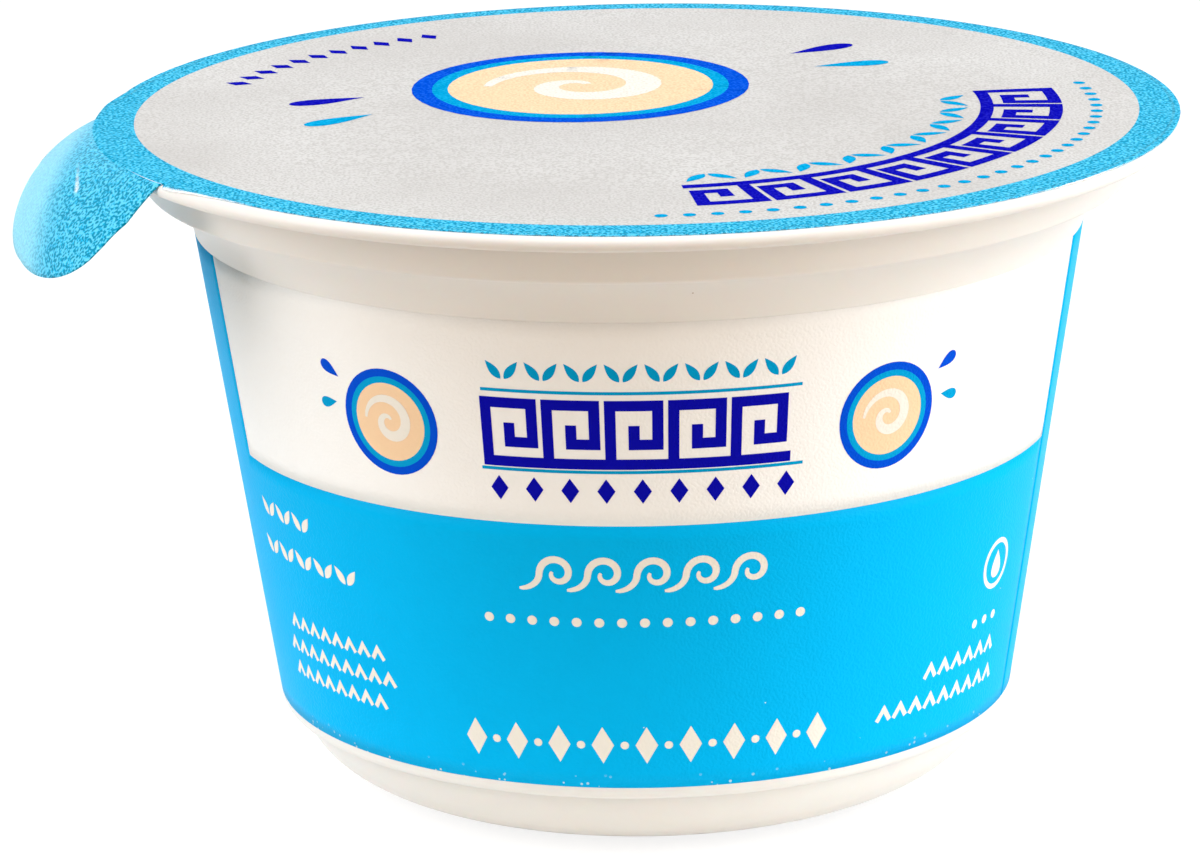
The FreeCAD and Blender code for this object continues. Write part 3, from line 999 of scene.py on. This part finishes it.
labelPrint = {
    "facings": {"front": 0.0, "back": 182.0},    # the same print faces both ways
    "key": (5.2, 0.92), "wave": (1.5, 0.62), "sprig": (2.0, 0.75),
    "bowls": (-34.0, 33.0), "bowlHeight": 39.6, "bowlRings": (4.7, 4.0, 3.45), "swirlPen": 0.95,
    "ruleWidth": 0.28, "ruleHalf": 13.5,
}
labelRows = {   # motif, ink, direction, height, how many, pitch
    "keyFrieze": (keyMotif(*labelPrint["key"]), "deepBlue", 0, 39.9, 5, labelPrint["key"][0]),
    "sprigRow": (sprigMotif(*labelPrint["sprig"]), "cyan", 0, 44.6, 8, 3.3),
    "lozengeRow": (lozengeMotif(1.5, 2.2), "deepBlue", 0, 34.9, 9, 3.0),
    "waveRow": (waveMotif(*labelPrint["wave"]), "offWhite", 0, 27.4, 5, 4.1),
    "dotRow": ([circleLoop(0.42, steps=16)], "offWhite", 0, 23.0, 15, 1.9),
    "starRow": (lozengeMotif(1.9, 3.4), "offWhite", 0, 11.7, 9, 3.7),
    "starDots": ([circleLoop(0.36, steps=14)], "offWhite", 0, 11.7, 8, 3.7),
    "leftSprigs": (sprigMotif(1.9, 0.8), "offWhite", -60, 27.0, 3, 3.0),
    "leftSprigsLow": (sprigMotif(1.9, 0.8), "offWhite", -56, 23.4, 5, 3.0),
    "leftChevrons": (chevronMotif(1.3, 1.0, 0.42), "offWhite", -52, 17.6, 8, 1.75),
    "leftChevronsMid": (chevronMotif(1.3, 1.0, 0.42), "offWhite", -52, 15.3, 9, 1.75),
    "leftChevronsLow": (chevronMotif(1.3, 1.0, 0.42), "offWhite", -53, 13.0, 8, 1.75),
    "rightDots": ([circleLoop(0.4, steps=16)], "offWhite", 59, 17.4, 3, 1.7),
    "rightChevrons": (chevronMotif(1.4, 1.1, 0.44), "offWhite", 54, 14.6, 6, 1.85),
    "rightChevronsLow": (chevronMotif(1.4, 1.1, 0.44), "offWhite", 50, 11.8, 9, 1.85),
}


def printBowl(place, rings, pen):
    # a round bowl of yogurt from straight above: two rings, the yogurt and its swirl
    outer, inner, filled = rings
    place("Rim", [circleLoop(outer), circleLoop(inner)], "royalBlue", "under")
    place("Ring", [circleLoop(inner), circleLoop(filled)], "cyan", "under")
    place("Fill", [circleLoop(filled)], "peach", "under")
    place("Swirl", swirlMotif(filled, pen), "offWhite", "over")


for facing, turn in labelPrint["facings"].items():
    for name, (loops, ink, degrees, z, count, pitch) in labelRows.items():
        wallRow(facing + "." + name, loops, ink, turn + degrees, z, count, pitch)
    for side, degrees in zip(("left", "right"), labelPrint["bowls"]):
        wide = -1 if side == "left" else 1
        start = facing + "." + side
        printBowl(lambda part, loops, ink, lift: wallPrint(
            start + "Bowl" + part, loops, ink, turn + degrees, labelPrint["bowlHeight"], lift),
            labelPrint["bowlRings"], labelPrint["swirlPen"])
        wallPrint(start + "Drop", [dropLoop(2.2, 0.95, 90 - wide * 58, (wide * 5.0, 3.2))], "royalBlue",
                  turn + degrees, labelPrint["bowlHeight"])
        wallPrint(start + "DropLow", [dropLoop(1.9, 0.85, 90 - wide * 100, (wide * 5.6, 0.9))], "cyan",
                  turn + degrees, labelPrint["bowlHeight"])
    half, pen = labelPrint["ruleHalf"], labelPrint["ruleWidth"] / 2
    for name, z in (("ruleHigh", 43.6), ("ruleLow", 36.6)):
        rule = [(-half, -pen), (half, -pen), (half, pen), (-half, pen)]
        wallPrint(facing + "." + name, [rule], "cyan", turn, z)
    token = [circleLoop(2.3), circleLoop(1.85), dropLoop(2.6, 1.5, -90, (0, 1.3))]
    wallPrint(facing + ".token", token, "offWhite", turn + 60.5, 22.3)

lidPrintSize = {
    "grain": 1.5, "bowl": (-5.0, 9.0), "bowlRings": (15.0, 13.2, 11.8), "swirlPen": 3.2,
    "drops": ((-24, 6, 200, "deepBlue"), (-23, -1, 215, "cyan"),
              (14, 22, 35, "deepBlue"), (16, 16, 15, "cyan")),
}
lidRows = {     # motif, ink, direction, radius, how many, pitch
    "lid.keyArc": (keyMotif(6.0, 1.15), "deepBlue", -38, 33.5, 9, 6.0),
    "lid.sprigArc": (sprigMotif(3.0, 1.1), "cyan", -38, 26.5, 9, 4.6),
    "lid.lozengeArc": (lozengeMotif(1.6, 2.6), "deepBlue", 140, 38.0, 11, 2.6),
    "lid.dotArc": ([circleLoop(0.55, steps=16)], "cyan", -38, 40.0, 31, 2.3),
}
for name, row in lidRows.items():
    lidRow(name, *row)
printBowl(lambda part, loops, ink, lift: lidPrint(
    "lid.bowl" + part, loops, ink, lidPrintSize["bowl"], lift),
    lidPrintSize["bowlRings"], lidPrintSize["swirlPen"])
for k, (x, y, turn, ink) in enumerate(lidPrintSize["drops"]):
    lidPrint("lid.drop%d" % k, [dropLoop(7.0, 2.0, turn)], ink, (x, y))


# floor, light and camera

studio = {
    "floorReach": 4000, "floorSeen": 0.25, "floorGlow": 0.84, "backdrop": (0.95, 0.95, 0.95, 1),
    "ambient": (0.33, 0.33, 0.33, 1), "ambientFront": (0.19, 0.11, 0.04, 1), "frontFade": (0.35, 0.9),
    "bounceNear": (0.97, 0.94, 0.89, 1), "bounceFar": (0.42, 0.41, 0.4, 1),
    "bounceFront": (0.33, 0.2, 0.085, 1), "bounceReach": (50, 170), "lampAim": 30,
    "boxes": {   # direction from the front, height angle, distance, width, height, watts, colour
        "left": (-76, 34, 620, 420, 620, 3.7, (0.95, 0.98, 1)),
        "right": (74, 27, 620, 460, 620, 4.7, (0.97, 0.99, 1)),
        "top": (150, 72, 700, 700, 500, 1.0, (1, 1, 1)),
        "front": (4, 24, 900, 300, 300, 0.5, (1, 0.67, 0.36)),
    },
}


def frontShare(tree, place, length):
    # 1 in front of the pot, 0 at its sides and behind
    towards = mathNode(tree, "MULTIPLY", splitVector(tree, place)[1], -1.0)
    return mapRange(tree, mathNode(tree, "DIVIDE", towards, length), *studio["frontFade"])


def seenRays(tree):
    # 1 for rays that show the backdrop: from the camera, or by way of gloss or glass
    ray = addNode(tree, "ShaderNodeLightPath", {}).outputs
    direct = mathNode(tree, "MAXIMUM", ray["Is Camera Ray"], ray["Is Glossy Ray"])
    return mathNode(tree, "MAXIMUM", direct, ray["Is Transmission Ray"])


def floorMaterial():
    material, tree, shader = newMaterial("paleFloor", Roughness=0.9, Specular_IOR_Level=0.0)
    seen = seenRays(tree)
    plain = (studio["floorSeen"],) * 3 + (1,)
    place = addNode(tree, "ShaderNodeTexCoord", {}).outputs["Object"]
    away = addNode(tree, "ShaderNodeVectorMath", {0: place}, operation="LENGTH").outputs["Value"]
    near, far = (reach * mm for reach in studio["bounceReach"])
    beyond = mixColor(tree, frontShare(tree, place, away), studio["bounceFar"], studio["bounceFront"])
    bounce = mixColor(tree, mapRange(tree, away, near, far), studio["bounceNear"], beyond)
    tree.links.new(mixColor(tree, seen, bounce, plain), shader.inputs["Base Color"])
    shader.inputs["Emission Color"].default_value = (1, 1, 1, 1)
    glow = mathNode(tree, "MULTIPLY", seen, studio["floorGlow"])
    tree.links.new(glow, shader.inputs["Emission Strength"])
    return material


def addSoftBox(name, direction, rise, distance, width, height, watts, color):
    a, e = math.radians(direction), math.radians(rise)
    place = Vector((math.sin(a) * math.cos(e), -math.cos(a) * math.cos(e), math.sin(e))) * distance * mm
    data = bpy.data.lights.new(name, "AREA")
    data.shape = "RECTANGLE"
    data.size, data.size_y, data.energy, data.color = width * mm, height * mm, watts, color
    lamp = bpy.data.objects.new(name, data)
    lamp.location = place + Vector((0, 0, studio["lampAim"] * mm))
    lamp.rotation_euler = (-place).to_track_quat("-Z", "Y").to_euler()
    scene.collection.objects.link(lamp)


reach = studio["floorReach"]
corners = [(-reach, -reach, 0), (reach, -reach, 0), (reach, reach, 0), (-reach, reach, 0)]
floor = addPiece("floor", meshFrom("floor", corners, [(0, 1, 2, 3)]), floorMaterial())
for name, box in studio["boxes"].items():
    addSoftBox(name, *box)
world = bpy.data.worlds.new("studio")
scene.world = world
world.use_nodes = True
sky = world.node_tree
toward = addNode(sky, "ShaderNodeTexCoord", {}).outputs["Generated"]
ambient = mixColor(sky, frontShare(sky, toward, 1.0), studio["ambient"], studio["ambientFront"])
skyColor = mixColor(sky, seenRays(sky), ambient, studio["backdrop"])
sky.links.new(skyColor, sky.nodes["Background"].inputs["Color"])

cameraView = {
    "rise": 15.625, "distance": 500.0, "aim": (-3.72, 0.0, 30.06), "roll": 1.009, "lens": 169.12,
}


def placeCamera(rise, distance, aim, roll, lens):
    aim = Vector(aim)
    angle = math.radians(rise)
    eye = Vector((0, -math.cos(angle) * distance, math.sin(angle) * distance + aim.z))
    forward = (aim - eye).normalized()
    right = forward.cross(Vector((0, 0, 1))).normalized()
    up = right.cross(forward)
    c, s = math.cos(math.radians(roll)), math.sin(math.radians(roll))
    axes = Matrix((right * c - up * s, right * s + up * c, -forward)).transposed()
    data = bpy.data.cameras.new("camera")
    data.lens, data.clip_start, data.clip_end = lens, 0.01, 20
    camera = bpy.data.objects.new("camera", data)
    camera.matrix_world = Matrix.Translation(eye * mm) @ axes.to_4x4()
    scene.collection.objects.link(camera)
    scene.camera = camera


placeCamera(**cameraView)
scene.view_settings.view_transform = "Standard"
